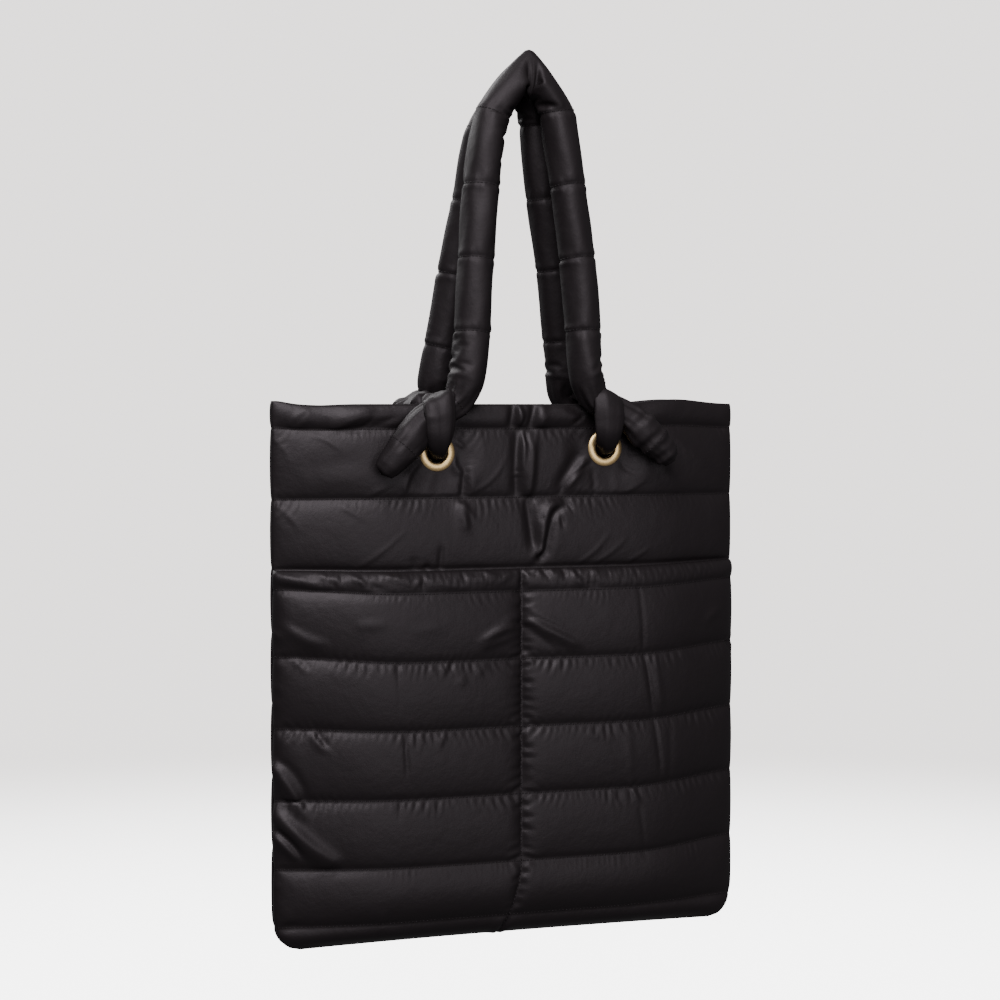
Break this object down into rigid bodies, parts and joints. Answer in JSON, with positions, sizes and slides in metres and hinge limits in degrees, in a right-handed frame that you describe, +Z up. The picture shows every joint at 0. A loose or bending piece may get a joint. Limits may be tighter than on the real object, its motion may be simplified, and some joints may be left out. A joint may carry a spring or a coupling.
{
  "type": "puffer tote bag",
  "caption": "Filled quilted puffer tote hanging by knotted padded handles, with a divided patch pocket on its front and metal eyelets.",
  "frame": {"origin": "under the peak of the handles, where the bag hangs from a hook or a peg, in the plane between the two handles", "axes": "+Z up, along the height of the hanging bag; -Y the way the front with the pocket faces; +X to the right as seen from the front, along the bag's width"},
  "size_m": [0.402, 0.0958, 0.7158],
  "materials": {
    "shell": "smooth black nylon, softly shining, padded and quilted",
    "handle": "the same black nylon round a soft filling",
    "eyelet": "polished pale gold"
  },
  "bodies": {
    "root": {"front_panel": "shell", "back_panel": "shell", "front_pocket": "shell", "eyelet_front_left": "eyelet", "eyelet_front_right": "eyelet", "eyelet_back_left": "eyelet", "eyelet_back_right": "eyelet", "handle_front": "handle", "handle_back": "handle"}
  },
  "joints": []
}
